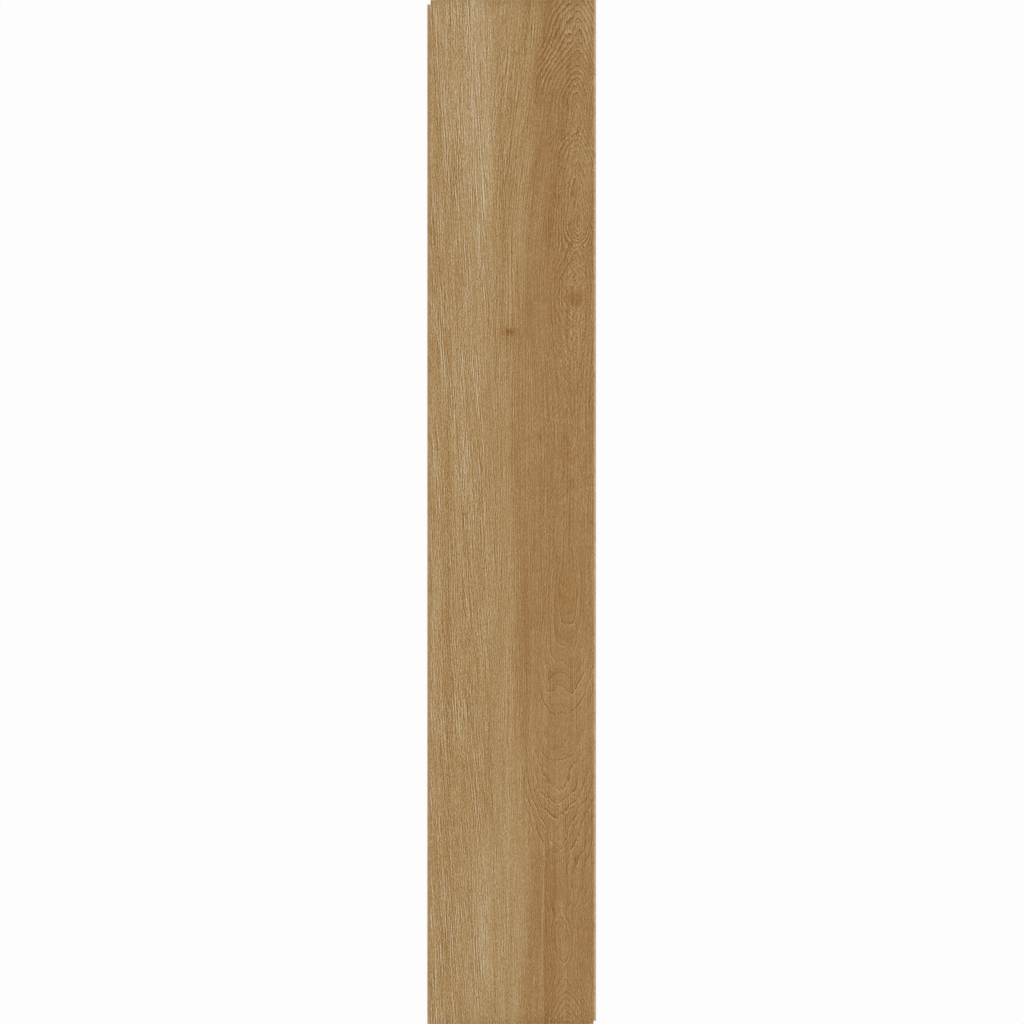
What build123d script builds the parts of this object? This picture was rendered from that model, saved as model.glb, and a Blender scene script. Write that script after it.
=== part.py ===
from build123d import *
import os
from math import radians, sqrt, tan

# Laminate floor plank: one pressed board with a click joint milled round its four edges.
# Millimetres. The plank lies face up, with X across it, Y along it and Z up. The origin is
# on the underside, below the middle of the face.

# The board
FACE_LENGTH = 1200.0  # decor face of the laid plank, from joint to joint
FACE_WIDTH = 191.0
THICKNESS = 8.0
ARRIS = 0.3  # eased edge round the face

# The click joint: a tongue on one edge of each pair, a groove with a locking lip on the other
UPPER_LIP = 2.5  # board left above the groove
LOWER_LIP = 1.9  # board left below the lip's channel
TONGUE_REACH = 3.0  # past the edge of the face
LIP_REACH = 4.0  # past the edge of the face
TIP_HEIGHT = 1.8  # of the groove, at its inner end
CHANNEL_START = 0.5  # past the edge of the face, where the groove's curved floor levels out
LOCK_HEIGHT = 0.9  # of the lip's locking ridge, above its channel
LOCK_LAND = 0.8  # flat top of the ridge
LOCK_ANGLE = 50.0  # of the face that stops the boards parting
MOUTH_CHAMFER = 0.3  # lead-in under the upper lip
LIP_CHAMFER = 0.3  # along the lip's outer edge
CONTACT_BAND = 1.2  # below the face, where two laid planks touch
TONGUE_NOSE = 0.6  # radius
GROOVE_CORNER = 0.4  # radius

# How the tongue fits the next plank's groove
CLEARANCE = 0.05  # above and below the tongue
LOCK_GAP = 0.02  # between the two locking faces
TIP_GAP = 0.3  # ahead of the tongue
LIP_GAP = 0.3  # ahead of the lip
BAND_RELIEF = 0.15  # set-back of the edge below the contact band

# Heights and distances that follow from them
CEILING = THICKNESS - UPPER_LIP
GROOVE_DEPTH = TONGUE_REACH + TIP_GAP
POCKET_DEPTH = LIP_REACH + LIP_GAP  # below the tongue, where the next plank's lip lies
FLOOR_END = CEILING - TIP_HEIGHT
FLOOR_RUN = GROOVE_DEPTH + CHANNEL_START
FLOOR_RISE = FLOOR_END - LOWER_LIP
FLOOR_RADIUS = (FLOOR_RUN**2 + FLOOR_RISE**2) / (2 * FLOOR_RISE)
LOCK_TOP = LIP_REACH - LIP_CHAMFER - LOCK_LAND
LOCK_SLOPE = tan(radians(LOCK_ANGLE))
LOCK_FOOT = LOCK_TOP - LOCK_HEIGHT / LOCK_SLOPE


def groove_edge(edge):
    """Draws the grooved edge from the face down to the underside. The board lies at x > edge."""
    ridge = LOWER_LIP + LOCK_HEIGHT
    Polyline(
        (edge + ARRIS, THICKNESS),
        (edge, THICKNESS - ARRIS),
        (edge, CEILING + MOUTH_CHAMFER),
        (edge + MOUTH_CHAMFER, CEILING),
        (edge + GROOVE_DEPTH, CEILING),
        (edge + GROOVE_DEPTH, FLOOR_END),
    )
    TangentArc(
        (edge - CHANNEL_START, LOWER_LIP),
        (edge + GROOVE_DEPTH, FLOOR_END),
        tangent=(1, 0),
    )
    Polyline(
        (edge - CHANNEL_START, LOWER_LIP),
        (edge - LOCK_FOOT, LOWER_LIP),
        (edge - LOCK_TOP, ridge),
        (edge - LIP_REACH + LIP_CHAMFER, ridge),
        (edge - LIP_REACH, ridge - LIP_CHAMFER),
        (edge - LIP_REACH, LIP_CHAMFER),
        (edge - LIP_REACH + LIP_CHAMFER, 0),
    )


def tongue_edge(edge):
    """Draws the tongued edge from the underside up to the face. The board lies at x < edge.

    It is the next plank's grooved edge with the clearances taken off.
    """
    belly = LOWER_LIP + CLEARANCE
    ridge_roof = LOWER_LIP + LOCK_HEIGHT + CLEARANCE
    lock_shift = LOCK_GAP - CLEARANCE / LOCK_SLOPE
    belly_radius = FLOOR_RADIUS - CLEARANCE
    tip_rise = FLOOR_RADIUS - sqrt(belly_radius**2 - (TONGUE_REACH + CHANNEL_START) ** 2)
    tip_under = LOWER_LIP + tip_rise
    tongue_top = CEILING - CLEARANCE
    band_end = THICKNESS - CONTACT_BAND
    Polyline(
        (edge - POCKET_DEPTH, 0),
        (edge - POCKET_DEPTH, ridge_roof),
        (edge - LOCK_TOP + lock_shift, ridge_roof),
        (edge - LOCK_FOOT + lock_shift, belly),
        (edge - CHANNEL_START, belly),
    )
    TangentArc(
        (edge - CHANNEL_START, belly),
        (edge + TONGUE_REACH, tip_under),
        tangent=(1, 0),
    )
    Polyline(
        (edge + TONGUE_REACH, tip_under),
        (edge + TONGUE_REACH, tongue_top),
        (edge - BAND_RELIEF, tongue_top),
        (edge - BAND_RELIEF, band_end - BAND_RELIEF),
        (edge, band_end),
        (edge, THICKNESS - ARRIS),
        (edge - ARRIS, THICKNESS),
    )


def board_section(plane, face):
    """The board cut across one pair of joints that stand a face apart: groove left, tongue right."""
    groove_side = -face / 2
    tongue_side = face / 2
    with BuildSketch(plane) as section:
        with BuildLine():
            groove_edge(groove_side)
            Line(
                (groove_side - LIP_REACH + LIP_CHAMFER, 0),
                (tongue_side - POCKET_DEPTH, 0),
            )
            tongue_edge(tongue_side)
            Line((tongue_side - ARRIS, THICKNESS), (groove_side + ARRIS, THICKNESS))
        make_face()
        corners = section.vertices()
        fillet(corners.group_by(Axis.X)[-1], TONGUE_NOSE)
        groove_end = groove_side + GROOVE_DEPTH
        fillet(
            corners.filter_by(lambda corner: abs(corner.X - groove_end) < TIP_GAP / 2),
            GROOVE_CORNER,
        )
    return section.sketch


# Each pass of the milling runs right across the board, so the plank is what the long pass
# along the sides and the cross pass along the ends both leave. At the two corners where a
# tongue meets a grooved edge, the tongue stops at that groove and the lip at that pocket.
overhang = max(TONGUE_REACH, LIP_REACH)
with BuildPart() as plank:
    extrude(
        board_section(Plane.XZ, FACE_WIDTH),
        amount=FACE_LENGTH / 2 + overhang,
        both=True,
    )
    extrude(
        board_section(Plane.YZ, FACE_LENGTH),
        amount=FACE_WIDTH / 2 + overhang,
        both=True,
        mode=Mode.INTERSECT,
    )
    with BuildSketch():
        with Locations((FACE_WIDTH / 2, -FACE_LENGTH / 2)):
            Rectangle(overhang, GROOVE_DEPTH, align=(Align.MIN, Align.MIN))
        with Locations((FACE_WIDTH / 2 + overhang, -FACE_LENGTH / 2)):
            Rectangle(overhang + POCKET_DEPTH, overhang, align=(Align.MAX, Align.MAX))
        with Locations((-FACE_WIDTH / 2, FACE_LENGTH / 2)):
            Rectangle(GROOVE_DEPTH, overhang, align=(Align.MIN, Align.MIN))
        with Locations((-FACE_WIDTH / 2, FACE_LENGTH / 2 + overhang)):
            Rectangle(overhang, overhang + POCKET_DEPTH, align=(Align.MAX, Align.MAX))
    extrude(amount=THICKNESS, mode=Mode.SUBTRACT)
plank.part.label = "plank"

os.makedirs("parts", exist_ok=True)
export_step(plank.part, "parts/plank.step")
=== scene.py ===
from math import radians

import bpy
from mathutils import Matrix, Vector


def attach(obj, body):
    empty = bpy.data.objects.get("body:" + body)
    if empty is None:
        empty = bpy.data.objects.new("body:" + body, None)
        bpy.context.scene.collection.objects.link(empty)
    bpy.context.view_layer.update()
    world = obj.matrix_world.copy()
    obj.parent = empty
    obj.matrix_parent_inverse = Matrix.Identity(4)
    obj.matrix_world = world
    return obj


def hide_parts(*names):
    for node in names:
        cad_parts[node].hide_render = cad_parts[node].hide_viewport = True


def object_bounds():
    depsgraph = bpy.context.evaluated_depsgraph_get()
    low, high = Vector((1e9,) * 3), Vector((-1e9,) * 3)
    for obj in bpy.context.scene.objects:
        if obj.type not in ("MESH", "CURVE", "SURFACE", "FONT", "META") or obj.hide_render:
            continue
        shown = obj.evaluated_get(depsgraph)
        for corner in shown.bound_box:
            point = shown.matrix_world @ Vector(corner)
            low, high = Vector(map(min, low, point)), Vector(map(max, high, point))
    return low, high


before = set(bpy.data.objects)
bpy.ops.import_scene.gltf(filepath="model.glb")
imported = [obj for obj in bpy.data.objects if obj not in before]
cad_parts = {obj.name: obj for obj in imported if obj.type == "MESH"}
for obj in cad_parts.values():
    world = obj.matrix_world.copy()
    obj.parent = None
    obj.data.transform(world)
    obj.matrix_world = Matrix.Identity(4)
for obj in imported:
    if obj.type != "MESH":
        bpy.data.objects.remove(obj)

cad_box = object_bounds()

# The plank. Sizes are in metres and angles in degrees. The face is the decor side of the laid plank,
# from joint to joint.
FACE_LENGTH = 1.2
THICKNESS = 0.008
ARRIS = 0.0003  # eased edge round the face
MERGE_REACH = 0.00001
FLAT_ANGLE = 0.5  # faces that meet at less are made one
SMOOTH_ANGLE = 30
FACE_UPWARD = 0.5  # a face whose normal points up by more is part of the decor side
BACK_DOWNWARD = -0.99  # one whose normal points down by more is part of the underside
BACK_HEIGHT = 0.00003  # if it also lies below this
FACE_FINISH = 0
EDGE_FINISH = 1
BACK_FINISH = 2

# Its map for baking: a strip each for the face, the edges and the underside. In the edges' strip,
# each edge has a lane for each way that its faces look, the long edges below the ends.
MAP_STRIPS = [(0.002, 0.67), (0.832, 0.998), (0.674, 0.828)]
END_CUT = 0.588  # along the plank, where faces are parted between the long edges and the ends
SIDE_CUT = 0.0905  # across the plank, where the lanes of the long edges begin
EDGE_BAND = 0.0165  # of the plank in one lane, for faces that look up or down
LEVEL_NORMAL = 0.7  # a face whose normal is steeper looks up or down
UP_LANE = 0
DOWN_LANE = 1
OUTWARD_LANE = 2
INWARD_LANE = 3
LANES_PER_EDGE = 4
LANES = 2 * LANES_PER_EDGE
LANE_MARGIN = 0.1  # share of a lane left free on either side
LONG_LANE = (0.0, 0.8)  # start and length of a long edge's lane
END_LANE = (0.82, 0.18)

# Patterns are laid out in millimetres from the middle of the face: X to the right, Y up.
MM = 1000.0

# Noise that the patterns are made of
NOISE_MIDDLE = 0.5
FIBRE_ROUGHNESS = 0.6
FIBRE_GAIN = 4.0
PORE_SIDE = 0.8  # from a pore line to either side of it, as a share of its width

# The oak figure. Growth rings are cut as nested arches about a line along the plank. In each curve,
# a pair is a place along the plank and the value there.
# Where the line runs, across the plank:
RING_LINE = [
    (-600, 63), (-570, 63), (-490, 58), (-390, 55), (-325, 53), (-280, 53), (-220, 58),
    (-160, 63), (-100, 66), (0, 71), (130, 70), (251, 73), (335, 78), (440, 75), (600, 76),
]
# How far below the face the middle of the rings runs:
RING_DEPTH = [
    (-600, 50), (-586, 55), (-570, 62), (-548, 71.5), (-537, 72), (-520, 68), (-503, 66),
    (-486, 68), (-467, 72.5), (-431, 72.5), (-394, 68), (-359, 64), (-341, 60), (-326, 56),
    (-294, 52), (-279, 48), (-238, 44), (-210, 40), (-189, 36), (-176, 32), (-156, 28),
    (-130, 24), (-122, 23), (-103, 21.5), (-74, 20.8), (-45, 20.8), (-21, 22.5), (-1, 28),
    (14, 34), (37, 40), (84, 42), (131, 38), (166, 30), (193, 22), (212, 16), (226, 12),
    (236, 8), (244, 4), (251, 0), (258, 4), (266, 8), (276, 12), (290, 16), (307, 20),
    (312, 21), (319, 16), (323, 12), (328, 8), (335, 2), (341, 1), (352, 5), (366, 9),
    (382, 12), (401, 16), (412, 20), (423, 24), (431, 28), (438, 32), (450, 36), (459, 16),
    (473, 16), (486, 18), (497, 22), (506, 26), (514, 30), (521, 34), (528, 38), (538, 42),
    (547, 46), (561, 50), (574, 54), (584, 58), (591, 62), (600, 66),
]
# How plain the ring lines are:
RING_STRENGTH = [
    (-600, 0.5), (-560, 0.5), (-525, 0.6), (-480, 0.65), (-440, 0.3), (-415, 0.35), (-394, 1.1),
    (-370, 0.8), (-330, 0.8), (-270, 0.45), (-250, 0.25), (-234, 0.3), (-218, 0.65), (-120, 0.65),
    (-75, 0.6), (-50, 0.4), (-30, 0.2), (0, 0.2), (150, 0.2), (215, 0.4), (251, 0.5), (290, 0.5),
    (312, 0.6), (325, 1.4), (345, 0.9), (390, 0.6), (440, 0.8), (455, 0.3), (470, 0.6),
    (520, 1.0), (600, 1.1),
]
# The arches' form, from pointed at 1 through round at 2 to blunt:
RING_POINT = [
    (-600, 1.5), (-540, 1.5), (-500, 1.6), (-420, 1.6), (-394, 1.6), (-341, 1.75), (-294, 1.9),
    (-260, 2.2), (-210, 3.0), (-120, 3.0), (-60, 2.0), (0, 1.6), (430, 1.5), (480, 1.5), (600, 1.6),
]
# How much narrower than round they are:
RING_NARROW = [
    (-600, 1.5), (-560, 1.6), (-503, 2.3), (-470, 2.0), (-425, 1.0), (-290, 1.0), (-240, 1.05),
    (-200, 1.1), (-160, 1.2), (-135, 1.4), (-110, 1.45), (-60, 1.4), (0, 1.0), (150, 1.0),
    (215, 0.95), (251, 0.8), (285, 0.95), (325, 1.35), (440, 1.3), (470, 1.15), (510, 1.15),
    (545, 1.35), (600, 1.5),
]
# How much they wave, and how ragged their lines are:
RING_WAVE = [
    (-600, 1.2), (-420, 0.9), (-300, 0.9), (-260, 0.6), (-120, 0.5), (-60, 0.6), (0, 1.0),
    (440, 1.1), (490, 0.7), (600, 0.7),
]
RING_TOOTH = [
    (-600, 0.9), (-520, 0.85), (-460, 0.8), (-410, 0.4), (-300, 0.4), (-240, 0.35), (-60, 0.3),
    (0, 0.4), (250, 0.4), (325, 0.4), (360, 1.2), (430, 1.3), (470, 0.8), (600, 0.8),
]
# How far to either side the rings stay arched before they run straight along the plank:
RING_SPREAD = [
    (-600, 170), (-150, 170), (150, 90), (260, 40), (345, 28), (420, 55), (470, 85), (600, 120),
]
# Where, across the plank, the ring lines begin:
LINE_EDGE = [
    (-600, 33), (-420, 33), (-380, 20), (-330, 12), (-300, 10), (-285, 20), (-200, 30), (-100, 32),
    (100, 34), (210, 40), (251, 46), (300, 40), (440, 38), (480, 28), (560, 38), (600, 46),
]
# Where the browner wood beside the arches begins:
BROWN_EDGE = [
    (-600, 10), (-490, 16), (-373, 16), (-267, 9), (-162, 1), (131, 1), (248, 4), (366, 21),
    (480, 26), (560, 34), (600, 42),
]

# Each row is a soft-edged patch, line or knot of paler or browner wood: its middle, its half width
# and half length, how much paler it is, and how far it leans right for each mm upwards.
PATCHES = [
    (-54, 60, 8, 180, 8, -0.09),
    (-90, -140, 7, 110, 5, 0),
    (-91, -520, 8, 130, 6, 0),
    (-82, 560, 12, 140, 5, 0),
    (-75, -180, 7, 260, -7, 0),
    (-75, 330, 8, 90, -5, 0.1),
    (-38, -500, 14, 130, 8, 0),
    (-5, -390, 10, 130, 8, 0),
    (-10, 330, 9, 170, -7, 0),
    (42, 600, 7, 60, -10, 0.17),
    (28, 500, 7, 60, -9, 0.15),
    (44, 330, 12, 150, -5, 0),
    (16, -110, 6, 90, -3, 0),
    (27, -260, 7, 60, 6, 0),
    (88, 590, 12, 50, 10, 0),
    (76, 565, 16, 45, 6, 0),
    (48, 525, 8, 25, 6, 0),
    (-63, 468, 14, 60, 7, 0),
    (84, 412, 10, 55, 6, 0),
    (-34, 272, 9, 35, -5, 0),
    (13, 300, 8, 30, 5, 0),
    (65, 72, 14, 60, -4, 0),
    (88, -210, 8, 90, 9, 0),
    (58, -320, 12, 30, 10, 0),
    (-22, -515, 16, 45, 5, 0),
    (60, -460, 9, 35, -4, 0),
    (-60, 595, 34, 35, 5, 0),
    (-40, -70, 6, 50, -6, 0),
    (-28, -285, 6, 100, -5, 0),
]
SLENDER_LINES = [
    (-6, 500, 1.0, 45, 18, 0.086),
    (35.5, -500, 1.1, 105, 18, 0.02),
    (3, 288, 1.6, 55, 9, 0.06),
]
KNOTS = [
    (73, 251, 9, 10, -24, 0),
    (-3, 211, 6.0, 4.0, -34, 0),
    (-4, 207, 13, 14, -9, 0),
    (33, 87, 1.4, 3.5, -32, 0),
]
PALE_TOP = (-38, 480, 24, 250, 16.0, -0.04)

# Where the ring lines dip: the dip's middle, half width and half length, and its depth in the rings.
RING_DIMPLES = [
    (70, -175, 6, 28, -2.4),
    (43, -194, 7, 14, -2.6),
    (56, -204, 6, 12, 1.2),
    (70, 566, 5, 18, 2.8),
]

# Where the fibres swing out round a knot: its middle, the half width and half length of the swing,
# and the share of their distance from the middle by which they are pushed out.
FIBRE_SWINGS = [
    (73, 251, 35, 90, 0.6),
    (-3, 211, 14, 35, 0.3),
]

# Where there is less of the ring lines, or of the speckle: the middle, half width and half length,
# and the share that is taken off.
LINE_CLEARING = (73, 251, 10, 11, -0.9)
CALM_SPOTS = [
    (62, -180, 28, 100, -0.5),
    (62, -470, 32, 80, -0.35),
    (73, 251, 10, 11, -0.6),
]

# Flecks and lines along the fibres: how wide and long one is, and its layer of the noise
SWAY = {"Width": 80, "Length": 320, "Layer": 3.0}
RING_WAVES = {"Width": 13, "Length": 30, "Layer": 7.0}
RING_TEETH = {"Width": 3.2, "Length": 16, "Layer": 11.0}
RING_FLECKS = {"Width": 1.6, "Length": 60, "Layer": 71.0}
LINE_FADES = {"Width": 12, "Length": 120, "Layer": 5.0}
CLUSTERS = {"Width": 12, "Length": 90, "Layer": 60.0}
LONG_LINES = {"Width": 1.2, "Length": 70, "Layer": 20.0}
PORES = {"Width": 1.2, "Length": 13, "Layer": 0.0}
GRIT_PORES = {"Width": 1.4, "Length": 1.9, "Layer": 31.5, "Slant": 0.3}
GRIT_FLECKS = {"Width": 1.5, "Length": 1.9, "Layer": 33.5, "Detail": 0.0, "Slant": 0.6}
THREADS = {"Width": 1.7, "Length": 150, "Layer": 80.5}
STREAKS = {"Width": 4.5, "Length": 130, "Layer": 40.0}
SLIPS = {"Width": 2.4, "Length": 50, "Layer": 45.5}
MOTTLE = {"Width": 9, "Length": 16, "Layer": 55.5}
BANDS = {"Width": 14, "Length": 300, "Layer": 50.0}
LAYER_STEP = 5  # across the plank, in which the noise goes on by one layer

# How the figure changes across the plank: from the first place to the second, it goes from the third
# value to the fourth, or from 0 to 1 where only the places are given.
ARCH_SIDE = (-10, 45)
LINE_START = (-6, 10)  # past the edge where the ring lines begin
RIGHT_LINES = (74, 92, 1.0, 0.55)
LEAN_ACROSS = (-95, 45, 0.0, 30.0)
LEFT_SIDE = (-30, -10, 1.0, 0.0)
STRAIGHT_SIDE = (-45, 30, 1.0, 0.33)
SPECKLE_TONE = (-60, 20, 14.0, 11.0)
THREAD_START = (-20, 0)
THREAD_END = (35, 55, 1.0, 0.0)
STREAK_TONE = (-40, 20, 7.5, 5.5)
SLIP_TONE = (-40, 30, 6.0, 2.0)
MOTTLE_TONE = (-20, 30, 1.0, 3.5)
PALE_TOP_EDGE = (-25, -19, 1.0, 0.3)
STRIPE_EDGE = (36.5, 38.0, 0.0, -11.0)
STRIPE_END = (38, 60, 1.0, 0.0)
BROWN_TONE = (-9, 9, 4.0, -7.0)  # either side of the browner wood's edge

# The same along the plank
RIGHT_SQUEEZE = (-80, 250, 0.0, 0.5)
RIGHT_LINES_TOP = (-60, 60)
LEAN_ALONG = (280, 640)
THREAD_TONE = (-120, 20, 0.0, 7.5)
THREAD_TOP = (200, 300, 1.0, 0.0)
STRIPE_TOP = (-430, -370, 1.0, 0.0)

# The same with the rings' slope, since steeper rings lie closer, and with the noise, from low to high
CLOSE_LINES = (0.3, 1.3, 1.0, 0.6)
FINE_LINES = (0.3, 0.8, 0.5, 0.0)
LINE_FADE = (-0.8, 0.8, 0.5, 1.1)
CLUSTER_FADE = (-0.6, 0.6, 0.35, 1.5)

# Ring lines come every RING_STEP, with finer ones between them where rings lie far apart. Their tones
# are those of the dark line, of its pale edge and of the wood from one line to the next.
RING_STEP = 4.0
FINE_STEP = RING_STEP / 3
RING_TONES = (-40.0, 24.0, -2.0)
FINE_TONES = (-30.0, 20.0, 0.0)
LINE_WIDTH = 2.3
EDGE_WIDTH = 2.3
SLOPE_STEP = 1.5  # along the plank, over which the rings' slope is taken
LEAST_SLOPE = 0.15
REST_LINE = 66  # the arches' line, as the straight-grained side follows it
SWAY_REACH = 3.0
LEFT_LEAN = 0.05  # to the left for each mm upwards
RING_FLECK_TONE = 5.0
LONG_LINE_TONE = 18.0
PORE_TONE = 16.0
BAND_TONE = 4.5

# The oak's tones, from its darkest colour to its palest, and the one that the patterns start from
DARKEST_TONE = 80
MEAN_TONE = 137
TONE_RANGE = 120

# Each finish's colours as they look on screen, from its darkest to its palest
OAK_COLOURS = [
    (0.0, (125, 73, 25)), (0.24, (148, 104, 50)), (0.336, (157, 117, 63)), (0.466, (170, 133, 81)),
    (0.637, (186, 156, 109)), (0.794, (200, 177, 140)), (1.0, (221, 205, 174)),
]
CORE_COLOURS = [
    (0.0, (170, 137, 95)), (0.35, (203, 172, 129)), (0.65, (220, 193, 152)), (1.0, (236, 215, 182)),
]
BACKING_COLOURS = [(0.0, (150, 122, 86)), (0.5, (184, 157, 118)), (1.0, (206, 183, 148))]
BACKING_EDGE_COLOUR = (184, 157, 118)
BACKING_EDGE = (0.21, 0.29, 1.0, 0.0)  # above the underside, where the backing ends and the core begins
MIDDLE_TONE = 0.5

# The core's and the backing's patterns, and how strong each is
CORE_LAYERS = {"Width": 0.22, "Length": 2.5, "Layer": 4.5}
CORE_FLECKS = {"Width": 0.7, "Length": 0.8, "Slant": 0.6}
CORE_CLOUDS = {"Width": 9, "Length": 5, "Layer": 8.5}
CORE_LAYER_TONE = 0.16
CORE_FLECK_TONE = 0.2
CORE_CLOUD_TONE = 0.12
BACKING_STRANDS = {"Width": 0.5, "Length": 3.5, "Layer": 12.5}
STRAND_SLANTS = (0.4, -0.9, 2.5)
BACKING_CLOUDS = {"Width": 22, "Length": 40, "Layer": 15.5, "Slant": 0.3}
STRAND_TONE = 0.11
BACKING_CLOUD_TONE = 0.07

# Gloss and relief: the tones between which the roughness changes with its values there, the strength
# of reflections, and that of the relief
OAK_ROUGHNESS = (-30, 30, 0.62, 0.48)
CORE_ROUGHNESS = (0.2, 0.8, 0.9, 0.72)
BACKING_ROUGHNESS = (0.2, 0.8, 0.7, 0.55)
OAK_GLOSS = 0.3
CORE_GLOSS = 0.25
BACKING_GLOSS = 0.3
OAK_RELIEF = (-40, 40)
OAK_BUMP = 0.15
CORE_BUMP = 0.3
BACKING_BUMP = 0.15
BUMP_DEPTH = 0.0001

# The stage
FLOOR_SIZE = 14
FLOOR_GAP = 0.0001  # below the underside, so that the two don't lie in one plane
FLOOR_COLOUR = (0.9, 0.9, 0.9, 1.0)
FLOOR_ROUGHNESS = 0.9
FLOOR_WHITE = 0.92  # share of plain white where the floor is seen; the rest keeps the shadow
WHITE = (1.0, 1.0, 1.0, 1.0)
SKY_LIGHT = 0.5
SKY_SEEN = 1.0
LAMP_ASIDE = 1.55
LAMP_HEIGHT = 2.69
LAMP_TILT = 30
LAMP_WIDTH = 1.6
LAMP_LENGTH = 3.2
LAMP_POWER = 24.5
LENS = 100.0
SENSOR = 36.0


def srgb(red, green, blue):
    """A colour written as it looks on screen, 0 to 255, in the linear values that nodes take."""
    def linear(level):
        share = level / 255
        return share / 12.92 if share <= 0.04045 else ((share + 0.055) / 1.055) ** 2.4
    return (linear(red), linear(green), linear(blue), 1.0)


class Wiring:
    """Adds nodes to one tree. An input is a socket to link or a plain value to set."""

    def __init__(self, tree):
        self.tree = tree

    def feed(self, socket, source):
        if isinstance(source, bpy.types.NodeSocket):
            self.tree.links.new(source, socket)
        else:
            socket.default_value = source

    def add(self, kind, settings=None, inputs=None):
        node = self.tree.nodes.new(kind)
        for name, value in (settings or {}).items():
            setattr(node, name, value)
        for name, source in (inputs or {}).items():
            self.feed(node.inputs[name], source)
        return node

    def math(self, operation, first, second=0.0, third=0.0):
        node = self.add("ShaderNodeMath", {"operation": operation})
        for socket, source in zip(node.inputs, (first, second, third)):
            self.feed(socket, source)
        return node.outputs[0]

    def total(self, terms):
        result = terms[0]
        for term in terms[1:]:
            result = self.math("ADD", result, term)
        return result

    def ramp(self, value, low, high, start=0.0, end=1.0):
        """Smoothly from start to end while value goes from low to high."""
        node = self.add(
            "ShaderNodeMapRange",
            {"interpolation_type": "SMOOTHSTEP"},
            {"Value": value, "From Min": low, "From Max": high, "To Min": start, "To Max": end},
        )
        return node.outputs["Result"]

    def curve(self, value, pairs):
        """A smooth curve through pairs of place and height."""
        low = min(place for place, height in pairs)
        high = max(place for place, height in pairs)
        top = max(height for place, height in pairs)
        share = self.math("DIVIDE", self.math("SUBTRACT", value, low), high - low)
        node = self.add("ShaderNodeFloatCurve", None, {"Value": share})
        points = node.mapping.curves[0].points
        while len(points) < len(pairs):
            points.new(0, 0)
        for point, (place, height) in zip(points, pairs):
            point.location = ((place - low) / (high - low), height / top)
        node.mapping.update()
        return self.math("MULTIPLY", node.outputs["Value"], top)

    def group(self, tree, inputs):
        node = self.add("ShaderNodeGroup", {"node_tree": tree}, inputs)
        return node.outputs[0]

    def colours(self, value, stops):
        """The colour at value among stops, each a place and a colour as it looks on screen."""
        node = self.add("ShaderNodeValToRGB", None, {"Fac": value})
        marks = node.color_ramp.elements
        while len(marks) < len(stops):
            marks.new(0)
        for mark, (place, shown) in zip(marks, stops):
            mark.position = place
            mark.color = srgb(*shown)
        return node.outputs["Color"]

    def bump(self, height, strength):
        node = self.add("ShaderNodeBump", None, {
            "Height": height,
            "Strength": strength,
            "Distance": BUMP_DEPTH,
        })
        return node.outputs["Normal"]


def new_group(name, inputs, output):
    """An empty shader group with number inputs and one number output."""
    tree = bpy.data.node_groups.new(name, "ShaderNodeTree")
    for label, value in inputs.items():
        socket = tree.interface.new_socket(label, in_out="INPUT", socket_type="NodeSocketFloat")
        socket.default_value = value
    tree.interface.new_socket(output, in_out="OUTPUT", socket_type="NodeSocketFloat")
    return tree, tree.nodes.new("NodeGroupInput").outputs, tree.nodes.new("NodeGroupOutput").inputs


def fibre_group():
    """Noise drawn out along the fibres, about -1 to 1. Width and Length are one fleck's, in mm."""
    tree, given, made = new_group(
        "Drawn-out fibres",
        {"Across": 0.0, "Along": 0.0, "Width": 1.0, "Length": 10.0, "Layer": 0.0, "Detail": 1.0,
         "Slant": 0.0},
        "Tone",
    )
    wiring = Wiring(tree)
    across = wiring.math("DIVIDE", given["Across"], given["Width"])
    along = wiring.math("DIVIDE", given["Along"], given["Length"])
    back = wiring.math("MULTIPLY", given["Slant"], -1.0)
    place = wiring.add("ShaderNodeCombineXYZ", None, {
        "X": wiring.math("MULTIPLY_ADD", along, given["Slant"], across),
        "Y": wiring.math("MULTIPLY_ADD", across, back, along),
        "Z": given["Layer"],
    })
    noise = wiring.add("ShaderNodeTexNoise", {"noise_dimensions": "3D"}, {
        "Vector": place.outputs["Vector"],
        "Scale": 1.0,
        "Detail": given["Detail"],
        "Roughness": FIBRE_ROUGHNESS,
    })
    centred = wiring.math("SUBTRACT", noise.outputs["Fac"], NOISE_MIDDLE)
    wiring.feed(made["Tone"], wiring.math("MULTIPLY", centred, FIBRE_GAIN))
    return tree


def pore_group(fibres):
    """Thin dark and pale lines along the fibres: the fibres less the mean of those on either side."""
    tree, given, made = new_group(
        "Pore lines",
        {"Across": 0.0, "Along": 0.0, "Width": 1.0, "Length": 10.0, "Layer": 0.0, "Slant": 0.0},
        "Tone",
    )
    wiring = Wiring(tree)
    here = {name: given[name] for name in ("Across", "Along", "Width", "Length", "Layer", "Slant")}
    here["Detail"] = 0.0
    right = dict(here, Across=wiring.math("MULTIPLY_ADD", given["Width"], PORE_SIDE, given["Across"]))
    left = dict(here, Across=wiring.math("MULTIPLY_ADD", given["Width"], -PORE_SIDE, given["Across"]))
    sides = wiring.math("ADD", wiring.group(fibres, right), wiring.group(fibres, left))
    wiring.feed(made["Tone"], wiring.math("MULTIPLY_ADD", sides, -0.5, wiring.group(fibres, here)))
    return tree


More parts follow.
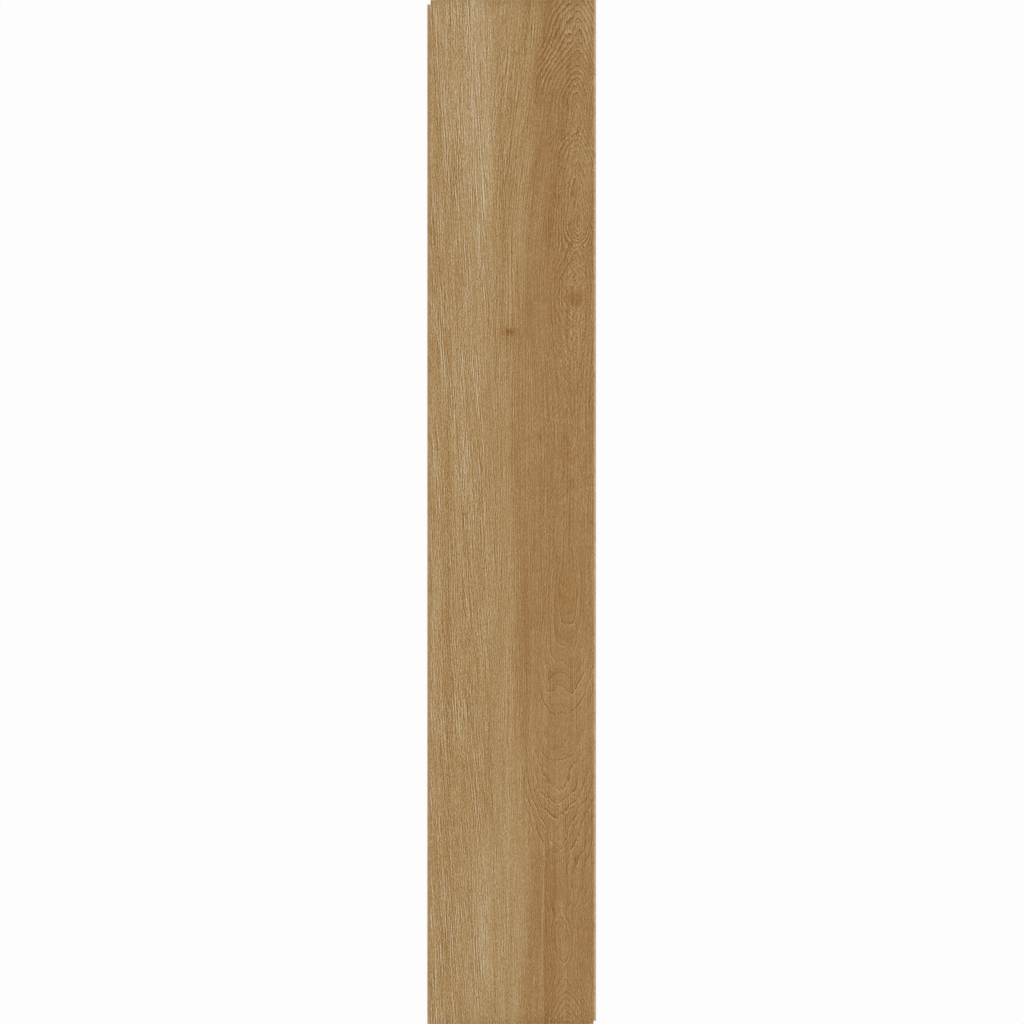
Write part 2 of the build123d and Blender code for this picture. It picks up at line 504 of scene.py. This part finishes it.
def patch_group():
    """A soft-edged patch, 1 in its middle. Lean is how far it moves right for each mm upwards."""
    tree, given, made = new_group(
        "Soft patch",
        {"Across": 0.0, "Along": 0.0, "Middle X": 0.0, "Middle Y": 0.0, "Half width": 5.0,
         "Half length": 50.0, "Lean": 0.0},
        "Mask",
    )
    wiring = Wiring(tree)
    up = wiring.math("SUBTRACT", given["Along"], given["Middle Y"])
    line = wiring.math("MULTIPLY_ADD", up, given["Lean"], given["Middle X"])
    side = wiring.math("DIVIDE", wiring.math("SUBTRACT", given["Across"], line), given["Half width"])
    end = wiring.math("DIVIDE", up, given["Half length"])
    reach = wiring.math("ADD", wiring.math("MULTIPLY", side, side), wiring.math("MULTIPLY", end, end))
    wiring.feed(made["Mask"], wiring.math("EXPONENT", wiring.math("MULTIPLY", reach, -1.0)))
    return tree


def new_material(name):
    material = bpy.data.materials.new(name)
    material.use_nodes = True
    tree = material.node_tree
    tree.nodes.clear()
    wiring = Wiring(tree)
    shader = wiring.add("ShaderNodeBsdfPrincipled")
    output = wiring.add("ShaderNodeOutputMaterial")
    tree.links.new(shader.outputs["BSDF"], output.inputs["Surface"])
    return material, wiring, shader.inputs


def places(wiring):
    """The point's place on the plank, in millimetres."""
    given = wiring.add("ShaderNodeTexCoord").outputs["Object"]
    scaled = wiring.add("ShaderNodeVectorMath", {"operation": "SCALE"}, {"Vector": given, "Scale": MM})
    split = wiring.add("ShaderNodeSeparateXYZ", None, {"Vector": scaled.outputs["Vector"]})
    return split.outputs["X"], split.outputs["Y"], split.outputs["Z"]


fibres = fibre_group()
pore_lines = pore_group(fibres)
patch = patch_group()


def oak_decor():
    """The printed and pressed oak face."""
    material, wiring, shader = new_material("oak decor")
    math = wiring.math
    ramp = wiring.ramp
    x, y, _ = places(wiring)

    def fleck(across, pattern):
        return wiring.group(fibres, {"Across": across, "Along": y, **pattern})

    def pore(across, pattern):
        return wiring.group(pore_lines, {"Across": across, "Along": y, **pattern})

    def spot(middle_x, middle_y, half_width, half_length, level, lean=0.0):
        mask = wiring.group(patch, {
            "Across": x, "Along": y, "Middle X": middle_x, "Middle Y": middle_y,
            "Half width": half_width, "Half length": half_length, "Lean": lean,
        })
        return math("MULTIPLY", mask, level)

    def drifting(pattern):
        """The pattern with its noise changing across the plank, so that lines side by side differ."""
        return dict(pattern, Layer=math("ADD", math("DIVIDE", x, LAYER_STEP), pattern["Layer"]))

    # Growth rings: how far each point is from the middle of the rings
    depth = wiring.curve(y, RING_DEPTH)
    next_depth = wiring.curve(math("ADD", y, SLOPE_STEP), RING_DEPTH)
    climb = math("DIVIDE", math("SUBTRACT", next_depth, depth), SLOPE_STEP)
    narrow = wiring.curve(y, RING_NARROW)
    point = wiring.curve(y, RING_POINT)
    off_rest = math("SUBTRACT", wiring.curve(y, RING_LINE), REST_LINE)
    middle = math("MULTIPLY_ADD", off_rest, ramp(x, *ARCH_SIDE), REST_LINE)
    sway = math("MULTIPLY", fleck(x, SWAY), SWAY_REACH)
    offset = math("ADD", math("SUBTRACT", x, middle), sway)
    squeeze = math("MULTIPLY", math("MAXIMUM", offset, 0.0), ramp(y, *RIGHT_SQUEEZE))
    side = math("ABSOLUTE", math("MULTIPLY_ADD", offset, narrow, squeeze))
    reach = math("DIVIDE", side, wiring.curve(y, RING_SPREAD))
    fade = math("EXPONENT", math("MULTIPLY", math("MULTIPLY", reach, reach), -1.0))
    arch = math("MULTIPLY", depth, fade)
    power_sum = math("ADD", math("POWER", side, point), math("POWER", arch, point))
    radius = math("POWER", power_sum, math("DIVIDE", 1.0, point))
    wave = math("MULTIPLY", fleck(x, RING_WAVES), wiring.curve(y, RING_WAVE))
    tooth = math("MULTIPLY", fleck(x, RING_TEETH), wiring.curve(y, RING_TOOTH))
    ring = wiring.total([radius, wave, tooth] + [spot(*dimple) for dimple in RING_DIMPLES])

    # Ring lines: a thin dark line with a pale edge, as wide where rings lie close as where they don't
    sharp = math("SUBTRACT", point, 1.0)
    across_climb = math("MULTIPLY", math("POWER", math("DIVIDE", side, radius), sharp), narrow)
    along_climb = math("MULTIPLY", math("POWER", math("DIVIDE", arch, radius), sharp), climb)
    climb_square = math("MULTIPLY_ADD", across_climb, across_climb,
                        math("MULTIPLY", along_climb, along_climb))
    steep = math("MAXIMUM", math("SQRT", climb_square), LEAST_SLOPE)

    def ring_lines(step, dark, pale, shade):
        turn = math("FRACT", math("DIVIDE", ring, step))
        past = math("DIVIDE", math("MULTIPLY", turn, step), steep)
        ahead = math("DIVIDE", math("MULTIPLY", math("SUBTRACT", 1.0, turn), step), steep)
        dark_line = ramp(ahead, 0.0, LINE_WIDTH, dark, 0.0)
        pale_edge = ramp(past, 0.0, EDGE_WIDTH, pale, 0.0)
        return wiring.total([dark_line, pale_edge, math("MULTIPLY", turn, shade)])

    line_reach = ramp(math("SUBTRACT", x, wiring.curve(y, LINE_EDGE)), *LINE_START)
    line_reach = math("MULTIPLY", line_reach, ramp(steep, *CLOSE_LINES))
    line_reach = math("MULTIPLY", line_reach, math("ADD", spot(*LINE_CLEARING), 1.0))
    right_fade = math("MAXIMUM", ramp(x, *RIGHT_LINES), ramp(y, *RIGHT_LINES_TOP))
    line_reach = math("MULTIPLY", line_reach, right_fade)
    line_fade = ramp(fleck(ring, LINE_FADES), *LINE_FADE)
    line_gain = math("MULTIPLY", wiring.curve(y, RING_STRENGTH), math("MULTIPLY", line_reach, line_fade))
    fine_gain = math("MULTIPLY", ramp(steep, *FINE_LINES), line_gain)
    fleck_gain = math("MULTIPLY", line_reach, RING_FLECK_TONE)
    lines = wiring.total([
        math("MULTIPLY", ring_lines(RING_STEP, *RING_TONES), line_gain),
        math("MULTIPLY", ring_lines(FINE_STEP, *FINE_TONES), fine_gain),
        math("MULTIPLY", fleck(ring, RING_FLECKS), fleck_gain),
    ])

    # The fibres' run: they swing round the knots and fan out to both sides at the top
    swayed = math("ADD", x, sway)
    lean = math("MULTIPLY", ramp(y, *LEAN_ALONG), ramp(x, *LEAN_ACROSS))
    swings = [
        math("MULTIPLY", math("SUBTRACT", x, middle_x), spot(middle_x, *others))
        for middle_x, *others in FIBRE_SWINGS
    ]
    flow = math("SUBTRACT", swayed, wiring.total([lean] + swings))
    left_flow = math("MULTIPLY_ADD", y, LEFT_LEAN, swayed)
    left_share = ramp(x, *LEFT_SIDE)

    def fanned(make, pattern):
        """A pattern along the left side's fibres that goes over into one along the right side's."""
        right = make(flow, drifting(pattern))
        left = make(left_flow, drifting(pattern))
        return math("MULTIPLY_ADD", left_share, math("SUBTRACT", left, right), right)

    # Fibres and pores
    cluster = ramp(fleck(flow, CLUSTERS), *CLUSTER_FADE)
    straight = math("MULTIPLY", cluster, ramp(x, *STRAIGHT_SIDE))
    long_lines = math("MULTIPLY", fanned(pore, LONG_LINES), LONG_LINE_TONE)
    pores = math("MULTIPLY", fanned(pore, PORES), PORE_TONE)
    dashes = math("MULTIPLY", math("ADD", long_lines, pores), straight)
    grit = math("ADD", pore(flow, GRIT_PORES), fleck(flow, GRIT_FLECKS))
    calm = wiring.total([spot(*place) for place in CALM_SPOTS] + [1.0])
    speckle = math("MULTIPLY", grit, math("MULTIPLY", ramp(x, *SPECKLE_TONE), calm))
    beside_arches = math("MAXIMUM", ramp(x, *THREAD_END), ramp(y, *THREAD_TOP))
    thread_reach = math("MULTIPLY", ramp(x, *THREAD_START), beside_arches)
    thread_gain = math("MULTIPLY", thread_reach, ramp(y, *THREAD_TONE))
    threads = math("MULTIPLY", pore(flow, THREADS), thread_gain)
    streaks = math("MULTIPLY", fanned(fleck, STREAKS), ramp(x, *STREAK_TONE))
    slips = math("MULTIPLY", fanned(fleck, SLIPS), ramp(x, *SLIP_TONE))
    mottle = math("MULTIPLY", fleck(x, MOTTLE), ramp(x, *MOTTLE_TONE))
    bands = math("MULTIPLY", fleck(flow, BANDS), BAND_TONE)

    # Broad tones: the pale straight-grained side and the browner side with the arches
    brown_side = ramp(math("SUBTRACT", x, wiring.curve(y, BROWN_EDGE)), *BROWN_TONE)
    pale_top = math("MULTIPLY", spot(*PALE_TOP), ramp(x, *PALE_TOP_EDGE))
    stripe = math("MULTIPLY", ramp(x, *STRIPE_EDGE), ramp(x, *STRIPE_END))
    stripe = math("MULTIPLY", stripe, ramp(y, *STRIPE_TOP))
    broad = [brown_side, pale_top, stripe]
    broad += [spot(*values) for values in PATCHES + SLENDER_LINES + KNOTS]

    tone = wiring.total([lines, dashes, speckle, threads, streaks, slips, mottle, bands] + broad)
    share = math("MULTIPLY_ADD", tone, 1 / TONE_RANGE, (MEAN_TONE - DARKEST_TONE) / TONE_RANGE)
    relief = wiring.total([lines, dashes, speckle])
    wiring.feed(shader["Base Color"], wiring.colours(share, OAK_COLOURS))
    wiring.feed(shader["Roughness"], ramp(relief, *OAK_ROUGHNESS))
    wiring.feed(shader["Normal"], wiring.bump(ramp(relief, *OAK_RELIEF), OAK_BUMP))
    shader["Specular IOR Level"].default_value = OAK_GLOSS
    return material


def fibreboard_core():
    """The milled edge: pressed wood fibres in thin layers, with the backing's edge at the bottom."""
    material, wiring, shader = new_material("fibreboard core")
    math = wiring.math
    x, y, z = places(wiring)
    along = math("ADD", x, y)
    layers = wiring.group(fibres, {"Across": z, "Along": along, **CORE_LAYERS})
    flecks = wiring.group(fibres, {"Across": x, "Along": y, "Layer": z, **CORE_FLECKS})
    clouds = wiring.group(fibres, {"Across": along, "Along": z, **CORE_CLOUDS})
    tone = wiring.total([
        math("MULTIPLY", layers, CORE_LAYER_TONE),
        math("MULTIPLY", flecks, CORE_FLECK_TONE),
        math("MULTIPLY", clouds, CORE_CLOUD_TONE),
        MIDDLE_TONE,
    ])
    blend = wiring.add("ShaderNodeMix", {"data_type": "RGBA"}, {"Factor": wiring.ramp(z, *BACKING_EDGE)})
    wiring.feed(blend.inputs["A"], wiring.colours(tone, CORE_COLOURS))
    wiring.feed(blend.inputs["B"], srgb(*BACKING_EDGE_COLOUR))
    wiring.feed(shader["Base Color"], blend.outputs["Result"])
    wiring.feed(shader["Roughness"], wiring.ramp(tone, *CORE_ROUGHNESS))
    wiring.feed(shader["Normal"], wiring.bump(tone, CORE_BUMP))
    shader["Specular IOR Level"].default_value = CORE_GLOSS
    return material


def backing_paper():
    """The underside: brown paper pressed on with resin, with long fibres in every direction."""
    material, wiring, shader = new_material("backing paper")
    math = wiring.math
    x, y, _ = places(wiring)
    strands = [
        wiring.group(fibres, {"Across": x, "Along": y, "Slant": slant, **BACKING_STRANDS})
        for slant in STRAND_SLANTS
    ]
    clouds = wiring.group(fibres, {"Across": x, "Along": y, **BACKING_CLOUDS})
    tone = wiring.total([
        math("MULTIPLY", wiring.total(strands), STRAND_TONE),
        math("MULTIPLY", clouds, BACKING_CLOUD_TONE),
        MIDDLE_TONE,
    ])
    wiring.feed(shader["Base Color"], wiring.colours(tone, BACKING_COLOURS))
    wiring.feed(shader["Roughness"], wiring.ramp(tone, *BACKING_ROUGHNESS))
    wiring.feed(shader["Normal"], wiring.bump(tone, BACKING_BUMP))
    shader["Specular IOR Level"].default_value = BACKING_GLOSS
    return material


# The plank: the milled board, with its own finish on the face, the edges and the underside
bpy.ops.object.select_all(action="DESELECT")
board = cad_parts["plank"]
bpy.context.view_layer.objects.active = board
board.select_set(True)
bpy.ops.object.duplicate()
plank = bpy.context.view_layer.objects.active
plank.name = "laminate_plank"
plank.data.name = "laminate_plank"
bpy.ops.object.mode_set(mode="EDIT")
bpy.ops.mesh.select_all(action="SELECT")
bpy.ops.mesh.remove_doubles(threshold=MERGE_REACH)
bpy.ops.mesh.dissolve_limited(angle_limit=radians(FLAT_ANGLE))
for end in (-1, 1):
    bpy.ops.mesh.select_all(action="SELECT")
    bpy.ops.mesh.bisect(plane_co=(0, end * END_CUT, 0), plane_no=(0, 1, 0))
bpy.ops.object.mode_set(mode="OBJECT")
bpy.ops.object.shade_smooth_by_angle(angle=radians(SMOOTH_ANGLE))
plank.data.materials.clear()
for finish in (oak_decor(), fibreboard_core(), backing_paper()):
    plank.data.materials.append(finish)
for side in plank.data.polygons:
    if side.normal.z > FACE_UPWARD and side.center.z > THICKNESS - ARRIS:
        side.material_index = FACE_FINISH
    elif side.normal.z < BACK_DOWNWARD and side.center.z < BACK_HEIGHT:
        side.material_index = BACK_FINISH
    else:
        side.material_index = EDGE_FINISH

# The plank's map
bake_map = plank.data.uv_layers.new(name="OFBake")
low_corner, high_corner = cad_box


def run_along(corner, axis):
    """How far along the plank's box a corner lies, from 0 to 1."""
    return (corner[axis] - low_corner[axis]) / (high_corner[axis] - low_corner[axis])


def edge_place(side, corner):
    """Where a corner of an edge's face lies in the edges' strip, each way from 0 to 1."""
    is_level = abs(side.normal.z) > LEVEL_NORMAL
    if is_level:
        at_end = abs(side.center.y) > END_CUT
    else:
        at_end = abs(side.normal.y) > abs(side.normal.x)
    across, along = (1, 0) if at_end else (0, 1)
    on_far_edge = side.center[across] > 0
    if is_level:
        lane = UP_LANE if side.normal.z > 0 else DOWN_LANE
        depth = (abs(corner[across]) - (END_CUT if at_end else SIDE_CUT)) / EDGE_BAND
    else:
        lane = OUTWARD_LANE if (side.normal[across] > 0) == on_far_edge else INWARD_LANE
        depth = corner.z / THICKNESS
    if on_far_edge:
        lane += LANES_PER_EDGE
    lane_start, lane_length = END_LANE if at_end else LONG_LANE
    lane_width = 1 - 2 * LANE_MARGIN
    place_across = (lane + LANE_MARGIN + lane_width * depth) / LANES
    place_up = lane_start + lane_length * run_along(corner, along)
    return place_across, place_up


for side in plank.data.polygons:
    start, end = MAP_STRIPS[side.material_index]
    for loop in side.loop_indices:
        corner = plank.data.vertices[plank.data.loops[loop].vertex_index].co
        if side.material_index == EDGE_FINISH:
            across, up = edge_place(side, corner)
        else:
            across, up = run_along(corner, 0), run_along(corner, 1)
        bake_map.data[loop].uv = (start + (end - start) * across, up)
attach(plank, "root")
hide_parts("plank")


# The stage: a white floor, soft light from both sides and a camera straight above
def seen_directly(wiring):
    """1 where the camera sees the surface, also in a reflection or through glass, and 0 where it lights."""
    ray = wiring.add("ShaderNodeLightPath").outputs
    clear = wiring.math("MAXIMUM", ray["Is Glossy Ray"], ray["Is Transmission Ray"])
    return wiring.math("MAXIMUM", ray["Is Camera Ray"], clear)


bpy.ops.mesh.primitive_plane_add(size=FLOOR_SIZE, location=(0, 0, -FLOOR_GAP))
floor = bpy.context.active_object
floor.name = "floor"
floor_material, wiring, shader = new_material("floor")
shader["Base Color"].default_value = FLOOR_COLOUR
shader["Roughness"].default_value = FLOOR_ROUGHNESS
shader["Specular IOR Level"].default_value = 0.0
glow = wiring.add("ShaderNodeEmission", None, {"Color": WHITE, "Strength": 1.0})
white_share = wiring.math("MULTIPLY", seen_directly(wiring), FLOOR_WHITE)
blend = wiring.add("ShaderNodeMixShader", None, {"Fac": white_share})
floor_nodes = floor_material.node_tree.nodes
floor_links = floor_material.node_tree.links
floor_links.new(floor_nodes["Principled BSDF"].outputs["BSDF"], blend.inputs[1])
floor_links.new(glow.outputs["Emission"], blend.inputs[2])
floor_links.new(blend.outputs["Shader"], floor_nodes["Material Output"].inputs["Surface"])
floor.data.materials.append(floor_material)

for side, name in ((-1, "side_light_left"), (1, "side_light_right")):
    bpy.ops.object.light_add(
        type="AREA",
        location=(side * LAMP_ASIDE, 0, LAMP_HEIGHT),
        rotation=(0, side * radians(LAMP_TILT), 0),
    )
    lamp = bpy.context.active_object
    lamp.name = name
    lamp.data.shape = "RECTANGLE"
    lamp.data.size = LAMP_WIDTH
    lamp.data.size_y = LAMP_LENGTH
    lamp.data.energy = LAMP_POWER

world = bpy.data.worlds.new("studio")
bpy.context.scene.world = world
world.use_nodes = True
sky = world.node_tree.nodes["Background"].inputs
sky["Color"].default_value = WHITE
sky_wiring = Wiring(world.node_tree)
sky_strength = sky_wiring.ramp(seen_directly(sky_wiring), 0.0, 1.0, SKY_LIGHT, SKY_SEEN)
sky_wiring.feed(sky["Strength"], sky_strength)

camera_height = THICKNESS + FACE_LENGTH * LENS / SENSOR
bpy.ops.object.camera_add(location=(0, 0, camera_height), rotation=(0, 0, 0))
camera = bpy.context.active_object
camera.name = "camera"
camera.data.lens = LENS
camera.data.sensor_width = SENSOR
bpy.context.scene.camera = camera
bpy.context.scene.view_settings.view_transform = "Standard"
